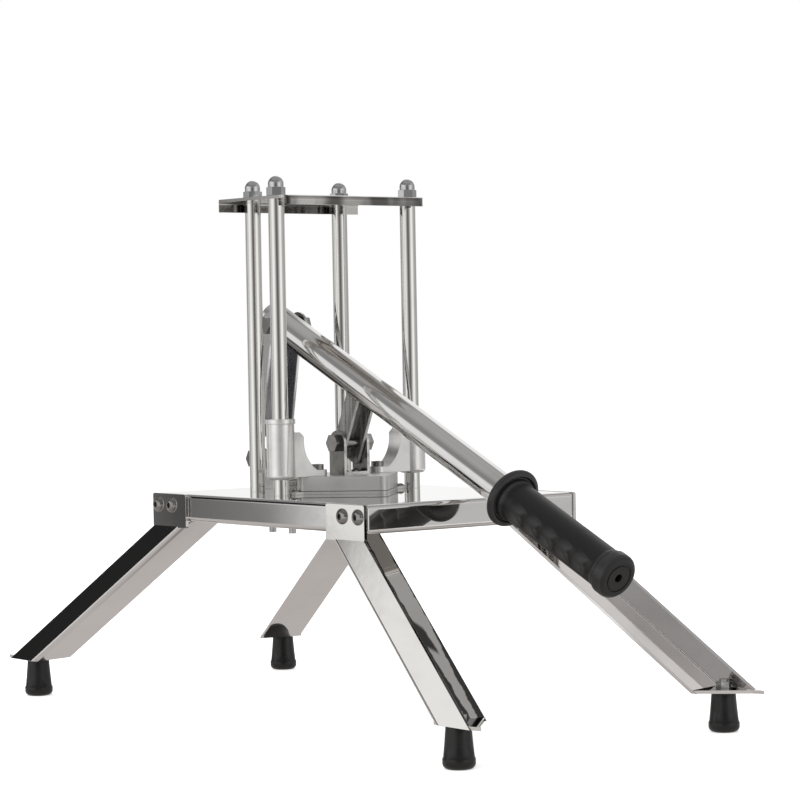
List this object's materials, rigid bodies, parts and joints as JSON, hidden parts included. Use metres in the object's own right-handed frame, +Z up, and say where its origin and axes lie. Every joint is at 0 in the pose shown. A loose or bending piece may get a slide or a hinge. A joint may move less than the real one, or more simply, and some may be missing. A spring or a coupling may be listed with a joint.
{
  "type": "vegetable slicer",
  "caption": "Lever-operated vegetable slicer: a pusher slides down chromed guide rods onto a blade grid in a polished base tray on splayed angle legs.",
  "frame": {"origin": "middle of the four feet at floor level, under the centre of the bounding box", "axes": "+X forward from the rear pivot to the grip, +Y to the operator's right, +Z up"},
  "size_m": [0.6272, 0.278, 0.4222],
  "materials": {
    "polished_steel": "mirror-polished stainless steel",
    "chrome_plate": "bright chrome plate",
    "zinc_steel": "zinc plate",
    "cast_aluminium": "satin casting",
    "blade_steel": "ground",
    "rubber": "matt black",
    "nylon": "matt"
  },
  "bodies": {
    "frame": {"base_tray": "polished_steel", "leg_front_left": "polished_steel", "leg_front_right": "polished_steel", "leg_rear_left": "polished_steel", "leg_rear_right": "polished_steel", "foot_front_left": "rubber", "foot_front_right": "rubber", "foot_rear_left": "rubber", "foot_rear_right": "rubber", "leg_screws": "zinc_steel", "leg_nuts": "zinc_steel", "foot_screws": "zinc_steel", "foot_nuts": "zinc_steel", "rod_front_left": "chrome_plate", "rod_front_right": "chrome_plate", "rod_rear_left": "chrome_plate", "rod_rear_right": "chrome_plate", "rod_washers": "zinc_steel", "rod_nuts": "zinc_steel", "top_plate": "chrome_plate", "acorn_nuts": "chrome_plate", "blade_frame": "cast_aluminium", "blades": "blade_steel", "frame_screws": "zinc_steel", "frame_nuts": "zinc_steel", "rear_bracket": "zinc_steel", "bracket_bolts": "zinc_steel", "bracket_nuts": "zinc_steel", "lower_pivot_bolt": "zinc_steel", "lower_pivot_nut": "zinc_steel"},
    "head": {"arm_left": "cast_aluminium", "arm_right": "cast_aluminium", "sleeve_left": "nylon", "sleeve_right": "nylon", "arm_screws": "zinc_steel", "pusher_block": "cast_aluminium", "clevis_bracket": "zinc_steel", "clevis_screws": "zinc_steel", "clevis_bolt": "zinc_steel", "clevis_nut": "zinc_steel"},
    "handle": {"handle_tube": "chrome_plate", "drop_link": "zinc_steel", "grip": "rubber"},
    "link": {"rear_link": "zinc_steel", "upper_pivot_bolt": "zinc_steel", "upper_pivot_nut": "zinc_steel"}
  },
  "joints": [
    {"name": "head_slide", "type": "slide", "parent": "frame", "child": "head", "axis": [0, 0, 1], "range_m": [0, 0.1]},
    {"name": "handle_pivot", "type": "hinge", "parent": "head", "child": "handle", "pos_m": [-0.007, 0, 0.213], "axis": [0, -1, 0], "range_deg": [0, 50]},
    {"name": "link_pivot", "type": "hinge", "parent": "frame", "child": "link", "pos_m": [-0.113, 0, 0.1985], "axis": [0, -1, 0], "range_deg": [0, 25.5]}
  ],
  "couplings": [
    {"joint": "handle_pivot", "follows": "head_slide", "rad_per_m": 8.6917},
    {"joint": "link_pivot", "follows": "head_slide", "rad_per_m": 4.4331}
  ]
}
